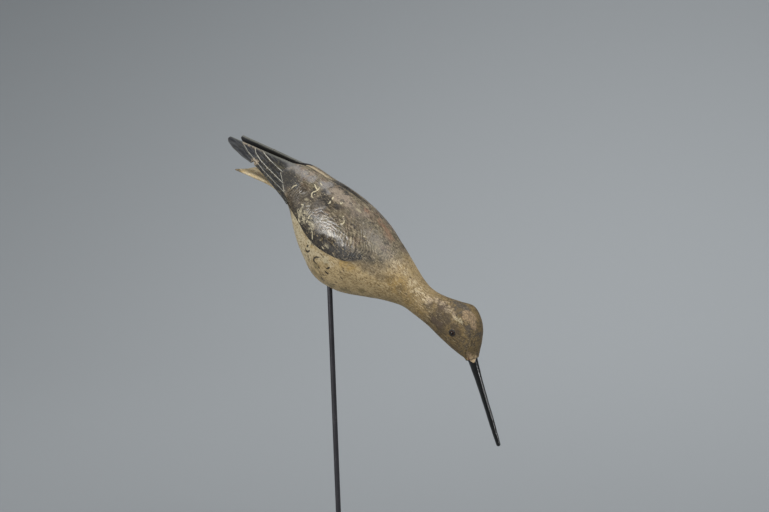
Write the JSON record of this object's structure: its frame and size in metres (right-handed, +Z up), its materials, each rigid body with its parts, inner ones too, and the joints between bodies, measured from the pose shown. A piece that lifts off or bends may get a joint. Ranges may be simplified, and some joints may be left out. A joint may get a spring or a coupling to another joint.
{
  "type": "shorebird decoy",
  "caption": "Carved and painted wooden wader in a feeding pose, with free wing tips, a dropped tail and a long bill, held up on a leaning steel rod in a round foot.",
  "frame": {"origin": "centre of the foot's underside, on the surface that it stands on", "axes": "+Z up, +X the way that the bird faces, +Y towards the bird's left side"},
  "size_m": [0.2274, 0.104, 0.329],
  "materials": {
    "painted_wood": "old oil paint over wood under a crazed varnish, worn at the edges",
    "bill_paint": "glossy black paint on turned wood",
    "eye_glass": "dark polished glass bead",
    "stand_steel": "blackened steel, satin"
  },
  "bodies": {
    "root": {"stand_foot": "stand_steel", "stand_rod": "stand_steel", "carved_bird": "painted_wood", "bill": "bill_paint", "eye_right": "eye_glass", "eye_left": "eye_glass"}
  },
  "joints": []
}
